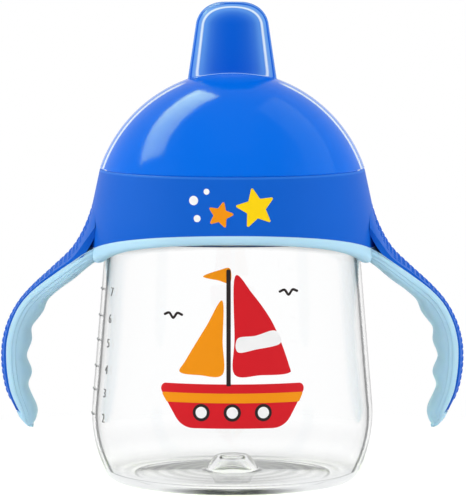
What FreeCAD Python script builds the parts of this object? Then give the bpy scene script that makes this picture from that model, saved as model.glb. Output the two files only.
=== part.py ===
import FreeCAD, Part
import math
import os

# Sippy cup with a screw ring, two handles, a hard spout and a push-on cap.
# Millimetres. Z is up, the cup stands on z = 0, the handles point along X, the front is -Y.
#
# Every round form is drawn with flats, at most 0.15 mm inside the true curve, so that its mesh stays light.

V = FreeCAD.Vector

# ---------------------------------------------------------------- driving dimensions

SIDES = 60                  # flats round a turned part
OVAL_SIDES = 32             # flats round the spout and its cover
PLUG_SIDES = 24             # flats round the valve's plugs and their sockets
HOLE_SIDES = 12             # flats round a drinking hole
CHORD_DEPTH = 0.15          # how far the chords of a rounded corner may lie inside its arc
CROWN_FLAT_R = 2.0          # small flat in the middle of each dome
CUT = 1.0                   # how far a cutting body reaches past what it cuts

# cup
FOOT_CORNER_R = 33.2        # where the base plane and the lower wall would meet
FOOT_BLEND = 6.5
BELLY_R = 39.9              # where the lower and the upper wall would meet
BELLY_Z = 13.5
BELLY_BLEND = 39.0
SHOULDER_R = 35.0
SHOULDER_Z = 68.4
CUP_WALL = 1.4
NECK_R = 29.8               # outside of the neck, under the thread
NECK_BORE_R = 27.6
NECK_FOOT_Z = 70.6
RIM_Z = 82.6
FOOT_RING_R = 27.6          # inner edge of the ring that the cup stands on
PUNT_TOP_Z = 8.3            # the small dome in the middle of the floor
PUNT_R = 4.2
PUNT_FOOT_R = 7.6
FLOOR_Z = 2.5               # inside, at the wall
FLOOR_RISE = 1.4            # from there to the foot of the punt
FLOOR_THICK = 1.5

# stack on the rim
SEAL_THICK = 1.2
SEAL_R = 30.0
FLANGE_THICK = 1.8
FLANGE_R = 31.0
DECK_THICK = 1.9
FLANGE_Z = RIM_Z + SEAL_THICK
DECK_Z = FLANGE_Z + FLANGE_THICK
RING_TOP_Z = DECK_Z + DECK_THICK

# screw ring
RING_TOP_R = 36.4
RING_R = 40.4               # largest radius, at the lower edge
RING_SHOULDER_Z = 71.5      # where the flare turns into the upright lower edge
RING_BORE_R = 37.8
RING_BLEND = 40.0
RING_WALL = 2.0
RING_MOUTH_R = 27.6         # opening that the spout passes through
SKIRT_R = 31.4              # inside of the threaded skirt
SKIRT_WALL = 1.6
SKIRT_FOOT_Z = 72.5
COLLAR_R = 33.0             # upstand that the cap grips
COLLAR_WALL = 1.4
COLLAR_HEIGHT = 2.4

# lower edge of the ring, seen from the side: high at front and back, low at the handles
ROOT_HALF = 14.0            # half the width of the handle at its root
SEAM_Z = (66.2, 69.3, 71.8)     # blue to soft seam at the root, half way and at the front
BAND_Z = (62.2, 66.6, 69.7)     # lower edge of the soft band at the same places
FRONT_Y = 42.0

# Side outline of the right-hand handle, as corners x, z and the radius that rounds them.
# From the ring it goes down the finger side over three hollows, round the tip and up the outer curve.
ROOT_TOP = (36.4, 85.0)
ROOT_FOOT = (36.4, 63.1)
FINGER_SIDE = (
    (51.8, 51.0, 4.0),
    (52.5, 47.4, 3.0),
    (56.6, 42.9, 4.0),
    (55.6, 39.2, 3.5),
    (58.0, 34.9, 4.0),
    (55.5, 30.6, 3.5),
    (57.6, 26.2, 4.0),
    (53.9, 20.0, 4.0),
)
TIP = ((55.2, 15.4, 0.9), (57.2, 15.2, 1.0))
OUTER_SIDE = ((75.1, 36.6, 28.0), (42.4, 67.1, 25.0))
FINGER_START = (10, 83.9)       # the finger side carried on into the cup
FINGER_END = (56.7, 10.1)       # and past the tip
OUTER_END = (48.6, 5.0)         # the outer curve carried on past the tip
# Half of its width outline, seen along X: corners y, z and radius, for the whole handle and for the blue skin.
HANDLE_WIDTH = ((ROOT_HALF, 92), (ROOT_HALF, 66.6, 10), (8.1, 49.0, 25), (8.1, 15.0, 6.5))
SKIN_WIDTH = ((ROOT_HALF, 92), (ROOT_HALF, 66.6, 10), (7.0, 49.0, 25), (7.0, 17.5, 5.5))
# Seam between the blue skin and the soft grip, seen from the front.
HANDLE_SEAM = ((30.0, 74.2), (65.2, 46.7, 28.0), (59.5, 16.0))
BEVEL_X = 55.0              # the bevels turn about upright lines at this distance from the axis of the cup
CROWN_START = 4.5           # the outer face is bevelled beyond this distance from the middle, by this angle
CROWN_TURN = 15.6
GRIP_START = 4.2            # and the finger side beyond this one
GRIP_TURN = 31.0

# cap
CAP_WALL = 1.4
CAP_CORNER_R = 29.9         # where the flank and the crown of the dome would meet
CAP_CORNER_Z = 104.6
CAP_FOOT_R = 36.5
CAP_CROWN_Z = 116.6
CAP_DOME_BLEND = 42.0
CAP_SLOPE = 1.09            # wall measured level at the foot, or upright at the crown, over its true thickness
CAP_CORNER_SHARE = 0.78     # how far the corner moves along X and Z for each millimetre of wall
COVER_BASE_HALF = 13.1      # half the width of the spout cover, at its base and at its top corner
COVER_BASE_Z = 104.0
COVER_TOP_HALF = 9.7
COVER_TOP_Z = 133.8
COVER_BLEND = 3.6
COVER_DEPTH = 0.48          # depth of the spout cover over its width
COVER_CORNER_DROP = 1.2     # the top edge of the cover falls away this much to its corners

# spout
SPOUT_WALL = 1.6
SPOUT_CROWN_Z = 105.2
SPOUT_SHOULDER_R = 20.5
SPOUT_SHOULDER_Z = 101.5
SPOUT_BLEND = 8.0
SPOUT_BASE_R = 27.2
SPOUT_TOP_Z = 130.6
SPOUT_TOP_HALF = 7.4
SPOUT_FOOT_HALF = 10.4
SPOUT_FOOT_Z = 98.0
SPOUT_DEPTH = 0.36
NOZZLE_WALL = 1.2
NOZZLE_BLEND = 1.6
DRINK_HOLE_R = 0.8
DRINK_HOLE_PITCH = 3.4
VENT_HOLE_R = 0.8
FLOW_BORE_R = 6.8
VENT_BORE_R = 4.2
SOCKET_WALL = 1.4
SOCKET_FOOT_Z = 84.0
FLOW_BORE_TOP_Z = 101.0
VENT_BORE_TOP_Z = 95.0
VENT_Y = 18.0

# valve
PLUG_GAP = 0.3
VALVE_SKIN = 1.1
VALVE_PLATE_THICK = 1.6
FLOW_PLUG_HEIGHT = 5.5
VENT_PLUG_HEIGHT = 4.5
TAB_WIDTH = 8.0
TAB_THICK = 1.8
TAB_HEIGHT = 6.0
PLATE_CORNER = 0.4          # share of the plate's half width that its cut corners take


# ---------------------------------------------------------------- helpers

def rounded(corners):
    """Points in the XZ plane along corners (x, z) or (x, z, radius), with chords of an arc for a round one."""
    points = [V(corner[0], 0, corner[1]) for corner in corners]
    drawn = []
    for i, corner in enumerate(corners):
        if len(corner) == 2:
            drawn.append(points[i])
            continue
        back = (points[i - 1] - points[i]).normalize()
        ahead = (points[(i + 1) % len(points)] - points[i]).normalize()
        half = back.getAngle(ahead) / 2
        blend = corner[2]
        centre = points[i] + (back + ahead).normalize() * (blend / math.sin(half))
        first = points[i] + back * (blend / math.tan(half)) - centre
        final = points[i] + ahead * (blend / math.tan(half)) - centre
        turn = first.getAngle(final)
        chords = math.ceil(turn / (2 * math.acos(1 - CHORD_DEPTH / blend)))
        for k in range(chords + 1):
            step = FreeCAD.Rotation(first.cross(final), math.degrees(turn) * k / chords)
            drawn.append(centre + step.multVec(first))
    return [point for i, point in enumerate(drawn) if point.distanceToPoint(drawn[i - 1]) > 0.1]


def turned(corners, depth=1.0, sides=SIDES):
    """Body turned about Z and drawn with flats. An outline that starts on the axis gives a solid body."""
    turns = [2 * math.pi * k / sides for k in range(sides)]
    rings = []
    for point in rounded(corners):
        rings.append([V(point.x * math.cos(t), point.x * depth * math.sin(t), point.z) for t in turns])
    faces = []
    for near, far in zip(rings, rings[1:] + rings[:1]):
        open_rings = [ring for ring in (near, far) if ring[0].x > 0]
        if len(open_rings) == 1:
            faces.append(Part.Face(Part.makePolygon(open_rings[0] + open_rings[0][:1])))
        if len(open_rings) == 2:
            for k in range(sides):
                flat = [near[k - 1], near[k], far[k], far[k - 1]]
                faces.append(Part.Face(Part.makePolygon(flat + flat[:1])))
    return Part.Solid(Part.Shell(faces))


def slab(corners, reach):
    """A side outline swept along Y, to both sides."""
    points = rounded(corners)
    face = Part.Face(Part.makePolygon(points + points[:1]))
    face.translate(V(0, -reach, 0))
    return face.extrude(V(0, 2 * reach, 0))


def across(half):
    """An outline seen along X, given by its right half as corners y, z and radius, swept along X."""
    whole = slab(half + tuple((-corner[0],) + corner[1:] for corner in reversed(half)), 80)
    whole.rotate(V(0, 0, 0), V(0, 0, 1), 90)
    return whole


def disc(radius, height, x, y, z, sides=PLUG_SIDES):
    plug = turned(((0, z), (radius, z), (radius, z + height), (0, z + height)), 1, sides)
    plug.translate(V(x, y, 0))
    return plug


def save(name, shape):
    solid = shape.removeSplitter()
    solid.exportStep(os.path.join("parts", name + ".step"))
    print(name, len(solid.Solids), solid.isValid(), round(solid.Volume), solid.BoundBox)


# ---------------------------------------------------------------- cup

def make_cup():
    """Clear beaker: tapered wall, rounded belly, foot ring, punt and neck."""
    outside = turned((
        (0, 0),
        (FOOT_CORNER_R, 0, FOOT_BLEND),
        (BELLY_R, BELLY_Z, BELLY_BLEND),
        (SHOULDER_R, SHOULDER_Z),
        (NECK_R, NECK_FOOT_Z),
        (NECK_R, RIM_Z),
        (0, RIM_Z),
    ))
    inside = turned((
        (0, PUNT_TOP_Z),
        (PUNT_R, PUNT_TOP_Z),
        (PUNT_FOOT_R, FLOOR_Z + FLOOR_RISE),
        (FOOT_CORNER_R - CUP_WALL, FLOOR_Z, FOOT_BLEND - CUP_WALL),
        (BELLY_R - CUP_WALL, BELLY_Z, BELLY_BLEND - CUP_WALL),
        (SHOULDER_R - CUP_WALL, SHOULDER_Z - CUP_WALL / 2),
        (NECK_BORE_R, NECK_FOOT_Z - CUP_WALL / 2),
        (NECK_BORE_R, RIM_Z + CUT),
        (0, RIM_Z + CUT),
    ))
    underside = turned((
        (0, -CUT),
        (FOOT_RING_R, -CUT),
        (FOOT_RING_R - 1.0, FLOOR_Z - FLOOR_THICK),
        (PUNT_FOOT_R - CUP_WALL, FLOOR_Z + FLOOR_RISE - FLOOR_THICK),
        (PUNT_R - CUP_WALL, PUNT_TOP_Z - FLOOR_THICK),
        (0, PUNT_TOP_Z - FLOOR_THICK),
    ))
    return outside.cut(inside).cut(underside)


# ---------------------------------------------------------------- screw ring with handles, and its soft grip

def ring_body():
    """Flared shell, top deck, collar for the cap and inner threaded skirt, before its lower edge is cut."""
    foot_z = BAND_Z[0] - 4
    return turned((
        (RING_MOUTH_R, DECK_Z),
        (RING_MOUTH_R, RING_TOP_Z),
        (COLLAR_R - COLLAR_WALL, RING_TOP_Z),
        (COLLAR_R - COLLAR_WALL, RING_TOP_Z + COLLAR_HEIGHT),
        (COLLAR_R, RING_TOP_Z + COLLAR_HEIGHT),
        (COLLAR_R, RING_TOP_Z),
        (RING_TOP_R, RING_TOP_Z),
        (RING_R, RING_SHOULDER_Z, RING_BLEND),
        (RING_R, foot_z),
        (RING_BORE_R, foot_z),
        (RING_BORE_R, RING_SHOULDER_Z - 0.5),
        (RING_TOP_R - RING_WALL, DECK_Z),
        (SKIRT_R + SKIRT_WALL, DECK_Z),
        (SKIRT_R + SKIRT_WALL, SKIRT_FOOT_Z),
        (SKIRT_R, SKIRT_FOOT_Z),
        (SKIRT_R, DECK_Z),
    ))


def above_edge(levels):
    """Everything above a lower edge that is level across the handles and arches up at the front and back."""
    root, half_way, front = levels
    top = RING_TOP_Z + COLLAR_HEIGHT + 1
    return across(((FRONT_Y, top), (FRONT_Y, front), ((ROOT_HALF + FRONT_Y) / 2, half_way), (ROOT_HALF, root)))


def bevel(corners, turn, middle):
    """A side outline swept across the handle and turned about an upright line, to cut a bevel."""
    tool = slab(corners, 2 * ROOT_HALF)
    tool.rotate(V(BEVEL_X, middle, 0), V(0, 0, 1), turn)
    return tool


def handle_body():
    """The whole right-hand handle, hard and soft together: side outline, width outline and four bevels."""
    side_outline = (ROOT_TOP, ROOT_FOOT) + FINGER_SIDE + TIP + OUTER_SIDE
    handle = slab(side_outline, ROOT_HALF).common(across(HANDLE_WIDTH))
    near_x, far_x = FINGER_START[0], 2 * BEVEL_X
    inside_crown = ((near_x, ROOT_TOP[1]), (near_x, OUTER_END[1]), OUTER_END) + OUTER_SIDE + (ROOT_TOP,)
    outside_grip = (FINGER_START,) + FINGER_SIDE + (FINGER_END,)
    outside_grip += ((far_x, FINGER_END[1]), (far_x, FINGER_START[1]))
    for side in (1, -1):
        handle = handle.common(bevel(inside_crown, side * CROWN_TURN, side * CROWN_START))
        handle = handle.common(bevel(outside_grip, -side * GRIP_TURN, side * GRIP_START))
    return handle


def make_ring_and_grip():
    """The blue moulding and the soft one that is moulded onto it."""
    handle = handle_body().cut(disc(RING_BORE_R + RING_WALL / 2, RING_TOP_Z, 0, 0, 0, SIDES))
    seam_x, seam_end_z = HANDLE_SEAM[0][0], HANDLE_SEAM[-1][1]
    far_x = 2 * BEVEL_X
    outside_seam = HANDLE_SEAM + ((far_x, seam_end_z), (far_x, RING_TOP_Z), (seam_x, RING_TOP_Z))
    hard_handle = handle.common(slab(outside_seam, 2 * ROOT_HALF)).common(across(SKIN_WIDTH))
    soft_handle = handle.cut(hard_handle)

    shell = ring_body().common(above_edge(BAND_Z))
    ring = shell.common(above_edge(SEAM_Z))
    grip = shell.cut(above_edge(SEAM_Z))
    for turn in (0, 180):
        hard = hard_handle.copy()
        hard.rotate(V(0, 0, 0), V(0, 0, 1), turn)
        soft = soft_handle.copy()
        soft.rotate(V(0, 0, 0), V(0, 0, 1), turn)
        ring = ring.fuse(hard)
        grip = grip.fuse(soft)
    return ring, grip.cut(ring)


# ---------------------------------------------------------------- spout, seal and valve

def make_spout():
    """Hard dome with flange, oval spout, three drinking holes, vent hole and two valve sockets."""
    hollow_foot_z = FLANGE_Z - CUT
    dome = turned((
        (0, FLANGE_Z),
        (FLANGE_R, FLANGE_Z),
        (FLANGE_R, DECK_Z),
        (SPOUT_BASE_R, DECK_Z),
        (SPOUT_SHOULDER_R, SPOUT_SHOULDER_Z, SPOUT_BLEND),
        (CROWN_FLAT_R, SPOUT_CROWN_Z),
        (0, SPOUT_CROWN_Z),
    ))
    hollow = turned((
        (0, hollow_foot_z),
        (SPOUT_BASE_R - SPOUT_WALL, hollow_foot_z),
        (SPOUT_SHOULDER_R - SPOUT_WALL, SPOUT_SHOULDER_Z - SPOUT_WALL),
        (CROWN_FLAT_R, SPOUT_CROWN_Z - SPOUT_WALL),
        (0, SPOUT_CROWN_Z - SPOUT_WALL),
    ))
    nozzle = turned((
        (SPOUT_FOOT_HALF, SPOUT_FOOT_Z),
        (SPOUT_TOP_HALF, SPOUT_TOP_Z, NOZZLE_BLEND),
        (0, SPOUT_TOP_Z),
        (0, SPOUT_FOOT_Z),
    ), SPOUT_DEPTH, OVAL_SIDES)
    channel = turned((
        (SPOUT_FOOT_HALF - 3 * NOZZLE_WALL, SPOUT_FOOT_Z),
        (SPOUT_TOP_HALF - 2 * NOZZLE_WALL, SPOUT_TOP_Z - 2 * NOZZLE_WALL),
        (0, SPOUT_TOP_Z - 2 * NOZZLE_WALL),
        (0, SPOUT_FOOT_Z),
    ), SPOUT_DEPTH, OVAL_SIDES)
    body = dome.cut(hollow).fuse(nozzle.cut(hollow))
    socket_height = SPOUT_CROWN_Z - SOCKET_FOOT_Z
    for bore, y in ((FLOW_BORE_R, 0), (VENT_BORE_R, VENT_Y)):
        body = body.fuse(disc(bore + SOCKET_WALL, socket_height, 0, y, SOCKET_FOOT_Z).common(dome))
    for bore, y, top_z in ((FLOW_BORE_R, 0, FLOW_BORE_TOP_Z), (VENT_BORE_R, VENT_Y, VENT_BORE_TOP_Z)):
        body = body.cut(disc(bore, top_z - SOCKET_FOOT_Z + CUT, 0, y, SOCKET_FOOT_Z - CUT))
    body = body.cut(channel)
    body = body.cut(disc(VENT_HOLE_R, socket_height, 0, VENT_Y, VENT_BORE_TOP_Z - CUT, HOLE_SIDES))
    hole_depth = 2 * NOZZLE_WALL + CUT
    for step in (-1, 0, 1):
        x = step * DRINK_HOLE_PITCH
        body = body.cut(disc(DRINK_HOLE_R, hole_depth + CUT, x, 0, SPOUT_TOP_Z - hole_depth, HOLE_SIDES))
    return body


def make_seal():
    """Flat silicone washer that lies on the rim."""
    return turned(((NECK_BORE_R, RIM_Z), (SEAL_R, RIM_Z), (SEAL_R, FLANGE_Z), (NECK_BORE_R, FLANGE_Z)))


def valve_plug(bore, y, height):
    """A cup that opens downwards and fits in its socket, and its hollow."""
    radius = bore - PLUG_GAP
    top_z = SOCKET_FOOT_Z + height
    foot_z = SOCKET_FOOT_Z - VALVE_PLATE_THICK
    plug = disc(radius, top_z - foot_z, 0, y, foot_z)
    return plug, disc(radius - VALVE_SKIN, top_z - VALVE_SKIN - foot_z, 0, y, foot_z)


def make_valve():
    """Two plugs on one plate with cut corners, and a tab to pull it out by."""
    foot_z = SOCKET_FOOT_Z - VALVE_PLATE_THICK
    half = FLOW_BORE_R + SOCKET_WALL
    narrow = VENT_BORE_R + SOCKET_WALL
    back_y = VENT_Y + narrow
    cut = PLATE_CORNER * half
    right = [
        V(half - cut, -half, foot_z), V(half, cut - half, foot_z), V(half, half - cut, foot_z),
        V(narrow, VENT_Y - narrow, foot_z), V(narrow, back_y - cut, foot_z), V(narrow - cut, back_y, foot_z),
    ]
    left = [V(-point.x, point.y, foot_z) for point in reversed(right)]
    plate = Part.Face(Part.makePolygon(right + left + right[:1])).extrude(V(0, 0, VALVE_PLATE_THICK))
    tab = Part.makeBox(TAB_WIDTH, TAB_THICK, TAB_HEIGHT, V(-TAB_WIDTH / 2, VENT_Y / 2, foot_z - TAB_HEIGHT))
    body = plate.fuse(tab)
    for bore, y, height in ((FLOW_BORE_R, 0, FLOW_PLUG_HEIGHT), (VENT_BORE_R, VENT_Y, VENT_PLUG_HEIGHT)):
        plug, hollow = valve_plug(bore, y, height)
        body = body.fuse(plug).cut(hollow)
    return body


# ---------------------------------------------------------------- cap

def cap_form(inset, foot_z, depth):
    """Solid dome with its spout cover, inset by a wall thickness from the outside."""
    lean = CAP_SLOPE * inset
    corner_shift = CAP_CORNER_SHARE * inset
    dome = turned((
        (0, foot_z),
        (CAP_FOOT_R - lean, foot_z),
        (CAP_CORNER_R - corner_shift, CAP_CORNER_Z - corner_shift, CAP_DOME_BLEND - inset),
        (CROWN_FLAT_R, CAP_CROWN_Z - lean),
        (0, CAP_CROWN_Z - lean),
    ))
    cover = turned((
        (0, COVER_BASE_Z),
        (COVER_BASE_HALF - inset, COVER_BASE_Z),
        (COVER_TOP_HALF - inset, COVER_TOP_Z - COVER_CORNER_DROP - inset, COVER_BLEND - inset),
        (COVER_TOP_HALF / 3, COVER_TOP_Z - inset),
        (0, COVER_TOP_Z - inset),
    ), depth, OVAL_SIDES)
    return dome.fuse(cover)


def make_cap():
    """Thin-walled dome and spout cover in one piece."""
    middle_half = (COVER_BASE_HALF + COVER_TOP_HALF) / 2
    inner_depth = (COVER_DEPTH * middle_half - CAP_WALL) / (middle_half - CAP_WALL)
    outside = cap_form(0, RING_TOP_Z, COVER_DEPTH)
    inside = cap_form(CAP_WALL, RING_TOP_Z - CUT, inner_depth)
    return outside.cut(inside)


# ---------------------------------------------------------------- files

os.makedirs("parts", exist_ok=True)
handle_ring, soft_grip = make_ring_and_grip()
save("cup", make_cup())
save("handle_ring", handle_ring)
save("soft_grip", soft_grip)
save("spout", make_spout())
save("seal_ring", make_seal())
save("valve", make_valve())
save("cap", make_cap())
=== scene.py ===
import math

import bmesh
import bpy
from mathutils import Matrix, Vector


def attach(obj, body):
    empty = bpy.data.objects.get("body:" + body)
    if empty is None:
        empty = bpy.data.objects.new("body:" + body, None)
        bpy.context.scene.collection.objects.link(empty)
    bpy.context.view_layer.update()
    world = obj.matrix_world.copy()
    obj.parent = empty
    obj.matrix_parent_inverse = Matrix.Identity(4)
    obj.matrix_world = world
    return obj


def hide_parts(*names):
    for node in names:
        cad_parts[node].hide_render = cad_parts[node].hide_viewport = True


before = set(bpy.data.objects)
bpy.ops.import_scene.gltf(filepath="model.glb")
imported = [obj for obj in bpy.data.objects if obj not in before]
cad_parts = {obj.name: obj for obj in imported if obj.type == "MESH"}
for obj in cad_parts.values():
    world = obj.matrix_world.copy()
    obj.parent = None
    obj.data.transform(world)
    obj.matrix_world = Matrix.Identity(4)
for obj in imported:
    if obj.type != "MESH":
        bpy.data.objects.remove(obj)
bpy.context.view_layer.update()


# -------------------- studio
# A white table top in a white surround, with a soft box on each side of the cup. Two gloss panels, one strong
# and one faint, draw the bright streaks on the cap. The surround gives less light than it shows, so that colours
# stay deep.

class Signal:
    """A socket in a node tree. Arithmetic on it adds Math nodes."""

    def __init__(self, tree, socket=None):
        self.tree = tree
        self.socket = socket

    def node(self, kind, inputs=None, output=0, stops=None, **settings):
        made = self.tree.nodes.new(kind)
        for name, value in settings.items():
            setattr(made, name, value)
        if stops:
            ramp = made.color_ramp
            for (place, colour), element in zip(stops, ramp.elements):
                element.position = place
                element.color = colour
            for place, colour in stops[2:]:
                ramp.elements.new(place).color = colour
        for name, value in (inputs or {}).items():
            if isinstance(value, Signal):
                self.tree.links.new(value.socket, made.inputs[name])
            else:
                made.inputs[name].default_value = value
        return Signal(self.tree, made.outputs[output] if len(made.outputs) else None)

    def math(self, operation, first, second=0.0):
        return self.node("ShaderNodeMath", {0: first, 1: second}, operation=operation)

    def ramped(self, low, high, bottom=0.0, top=1.0):
        """Bottom to top as this value goes from low to high."""
        return self.node("ShaderNodeMapRange", {
            "Value": self, "From Min": low, "From Max": high, "To Min": bottom, "To Max": top})

    def noise(self, scale, detail):
        """Fine cloudy variation with this value as the place."""
        return self.node("ShaderNodeTexNoise", {"Vector": self, "Scale": scale, "Detail": detail}, output="Fac")

    def part(self, axis):
        return self.node("ShaderNodeSeparateXYZ", {0: self}, output=axis)

    def mixed(self, first, second):
        """From the first colour to the second as this value goes from 0 to 1."""
        return self.node("ShaderNodeMix", {0: self, 6: first, 7: second}, output=2, data_type="RGBA")

    def between(self, first, second):
        """From the first shader to the second as this value goes from 0 to 1."""
        return self.node("ShaderNodeMixShader", {0: self, 1: first, 2: second})

    def bump(self, strength, distance):
        """A surface that rises and falls with this value, by the distance in metres."""
        return self.node("ShaderNodeBump", {"Height": self, "Strength": strength, "Distance": distance})

    def as_surface(self):
        self.node("ShaderNodeOutputMaterial", {"Surface": self})

    def __add__(self, other):
        return self.math("ADD", self, other)

    def __sub__(self, other):
        return self.math("SUBTRACT", self, other)

    def __rsub__(self, other):
        return self.math("SUBTRACT", other, self)

    def __mul__(self, other):
        return self.math("MULTIPLY", self, other)

    def __pow__(self, other):
        return self.math("POWER", self, other)

    __radd__ = __add__
    __rmul__ = __mul__


def new_material(name):
    """An empty material and the start of its node tree."""
    made = bpy.data.materials.new(name)
    made.use_nodes = True
    made.node_tree.nodes.clear()
    return made, Signal(made.node_tree)


def seeing_rays(start):
    """1 for a ray through glass, and 1 for any ray that looks, straight, in a mirror image or through glass."""
    kinds = ("Camera", "Glossy", "Transmission")
    seen, mirrored, through = (start.node("ShaderNodeLightPath", output=f"Is {kind} Ray") for kind in kinds)
    return through, start.math("MINIMUM", seen + mirrored + through, 1.0)


scene = bpy.context.scene
scene.view_settings.view_transform = "Standard"

world = bpy.data.worlds.new("surround")
world.use_nodes = True
world.node_tree.nodes.clear()
SURROUND_LIGHT = 0.42       # what lights the cup, where the white background itself isn't seen or mirrored
sky = Signal(world.node_tree)
looking = seeing_rays(sky)[1]
level = looking + (1.0 - looking) * SURROUND_LIGHT
backdrop = sky.node("ShaderNodeBackground", {"Color": (1, 1, 1, 1), "Strength": level})
sky.node("ShaderNodeOutputWorld", {"Surface": backdrop})
scene.world = world

TABLE_GLOW = 0.42           # makes up for the light that the table doesn't get, where it is looked at
TABLE_THROUGH_CUP = 0.9     # how far the shadow is lifted where the table is seen through the clear plastic
TABLE_FADE = (0.06, 0.16)   # distance from the cup over which the table turns into the white background
table_material, start = new_material("table_top")
through, direct = seeing_rays(start)
place = start.node("ShaderNodeTexCoord", output="Object")
distance = start.node("ShaderNodeVectorMath", {0: place}, output="Value", operation="LENGTH")
fade = distance.ramped(*TABLE_FADE)
plain = start.node("ShaderNodeBsdfDiffuse", {"Color": (0.9, 0.9, 0.9, 1)})
dark, lit, far = (start.node("ShaderNodeEmission", {"Strength": level}) for level in (0.0, TABLE_GLOW, 1.0))
near = start.node("ShaderNodeAddShader", {0: plain, 1: direct.between(dark, lit)})
start.math("MAXIMUM", direct * fade, through * TABLE_THROUGH_CUP).between(near, far).as_surface()

bpy.ops.mesh.primitive_circle_add(vertices=96, radius=3.0, fill_type="NGON", location=(0, 0, -0.0002))
table = bpy.context.object
table.name = "table_top"
table.data.materials.append(table_material)


GLOSS_TINT = (0.78, 1.0, 0.32)   # keeps the streak on the blue cap a pale sky blue
LAMP_AIM = Vector((0, 0, 0.09))
VIEW_AIM = Vector((0.0002, 0, 0.0646))


def soft_box(name, place, long_side, width, length, watts, gloss_only=False):
    """A rectangular lamp that faces the cap. A gloss panel shows in shiny surfaces but lights nothing."""
    lamp = bpy.data.lights.new(name, "AREA")
    lamp.shape = "RECTANGLE"
    lamp.size = width
    lamp.size_y = length
    lamp.energy = watts
    lamp.color = GLOSS_TINT if gloss_only else (1, 1, 1)
    back = (Vector(place) - LAMP_AIM).normalized()
    across = Vector(long_side).cross(back).normalized()
    box = bpy.data.objects.new(name, lamp)
    turn = Matrix((across, back.cross(across), back)).transposed()
    box.matrix_world = Matrix.Translation(place) @ turn.to_4x4()
    box.visible_diffuse = not gloss_only
    box.visible_glossy = gloss_only
    box.visible_transmission = False
    scene.collection.objects.link(box)


soft_box("left_box", (-0.95, -0.35, 0.40), (0, 0, 1), 0.4, 0.8, 5.6)
soft_box("right_box", (0.95, -0.35, 0.40), (0, 0, 1), 0.4, 0.8, 4.9)
soft_box("top_box", (0.0, -0.25, 1.1), (0, 1, 0), 0.6, 0.9, 2.8)
soft_box("left_gloss", (-0.57, 0.27, 0.865), (0.55, 0.48, 0.29), 0.37, 1.0, 25.5, True)
soft_box("right_gloss", (0.66, 0.17, 0.77), (-0.33, 0.2, 0.295), 0.5, 1.0, 2.8, True)

camera = bpy.data.cameras.new("camera")
camera.lens = 335.5
camera.sensor_width = 36
view = bpy.data.objects.new("camera", camera)
view.location = (0.0002, -1.294, 0.176)
view.rotation_euler = (VIEW_AIM - view.location).to_track_quat("-Z", "Y").to_euler()
scene.collection.objects.link(view)
scene.camera = view


# -------------------- cup
# The beaker is injection moulded in clear polypropylene: a tapered wall, a big rounded belly, a foot ring and
# a punt in the floor. A coarse thread on its neck takes the screw ring.

MM = 0.001
CUP_OUTLINE = (
    (0, 5.8, 0), (3.2, 5.8, 1), (6.3, 1.7, 1.5), (26.6, 0.8, 0.6), (27.4, 0, 0.3), (34.0, 0, 4.9),
    (39.9, 12.0, 37), (35.1, 70.0, 1.4), (29.8, 71.4, 1), (29.8, 82.6, 0.5), (27.6, 82.6, 0.5), (27.6, 70.4, 1.5),
    (33.8, 68.8, 1.4), (38.52, 12.26, 33), (33.6, 2.2, 3.2), (7.8, 2.9, 2), (4.6, 7.3, 2), (0, 7.3, 0),
)
THREAD_PITCH = 5 * MM
THREAD_TURNS = 1.5
THREAD_RISE = 1.0 * MM
THREAD_BASE = 2.2 * MM
NECK_R = 29.8 * MM


def blended(corners, step=5):
    """Points in metres along corners (r, z, blend radius) in millimetres, each rounded by an arc."""
    points = []
    for i, (r, z, blend) in enumerate(corners):
        corner = Vector((r, z))
        if not blend or i in (0, len(corners) - 1):
            points.append(corner * MM)
            continue
        back = (Vector(corners[i - 1][:2]) - corner).normalized()
        ahead = (Vector(corners[i + 1][:2]) - corner).normalized()
        half = back.angle(ahead) / 2
        middle = corner + (back + ahead).normalized() * (blend / math.sin(half))
        first = corner + back * (blend / math.tan(half)) - middle
        turn = math.pi - 2 * half
        if back.cross(ahead) > 0:
            turn = -turn
        count = max(2, math.ceil(abs(math.degrees(turn)) / step))
        for k in range(count + 1):
            points.append((middle + Matrix.Rotation(turn * k / count, 2) @ first) * MM)
    return points


def closed_mesh(name, vertices, faces):
    """A mesh with no double points, whose faces all look outward."""
    mesh = bpy.data.meshes.new(name)
    mesh.from_pydata([tuple(v) for v in vertices], [], faces)
    shape = bmesh.new()
    shape.from_mesh(mesh)
    bmesh.ops.remove_doubles(shape, verts=shape.verts, dist=1e-7)
    bmesh.ops.recalc_face_normals(shape, faces=shape.faces)
    shape.to_mesh(mesh)
    shape.free()
    return mesh


def placed(name, mesh, material, body, slot):
    """A piece of one material that rides on a body."""
    mesh.materials.append(material)
    piece = bpy.data.objects.new(name, mesh)
    scene.collection.objects.link(piece)
    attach(piece, body)
    return piece


def solid(name, vertices, faces, material, body, slot, sharp=40):
    """A closed piece that rides on a body, smooth but for edges sharper than the given angle."""
    mesh = closed_mesh(name, vertices, faces)
    mesh.shade_smooth()
    mesh.set_sharp_from_angle(angle=math.radians(sharp))
    return placed(name, mesh, material, body, slot)


def rows_to_faces(rows, closed_across, closed_along):
    """Quads between rows of vertex numbers; each row joins its own ends, or the last row joins the first."""
    faces = []
    pairs = list(zip(rows, rows[1:]))
    if closed_along:
        pairs.append((rows[-1], rows[0]))
    for low, high in pairs:
        count = len(low)
        for k in range(count if closed_across else count - 1):
            loop = [low[k], low[(k + 1) % count], high[(k + 1) % count], high[k]]
            face = list(dict.fromkeys(loop))
            if len(face) > 2:
                faces.append(face)
    return faces


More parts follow.
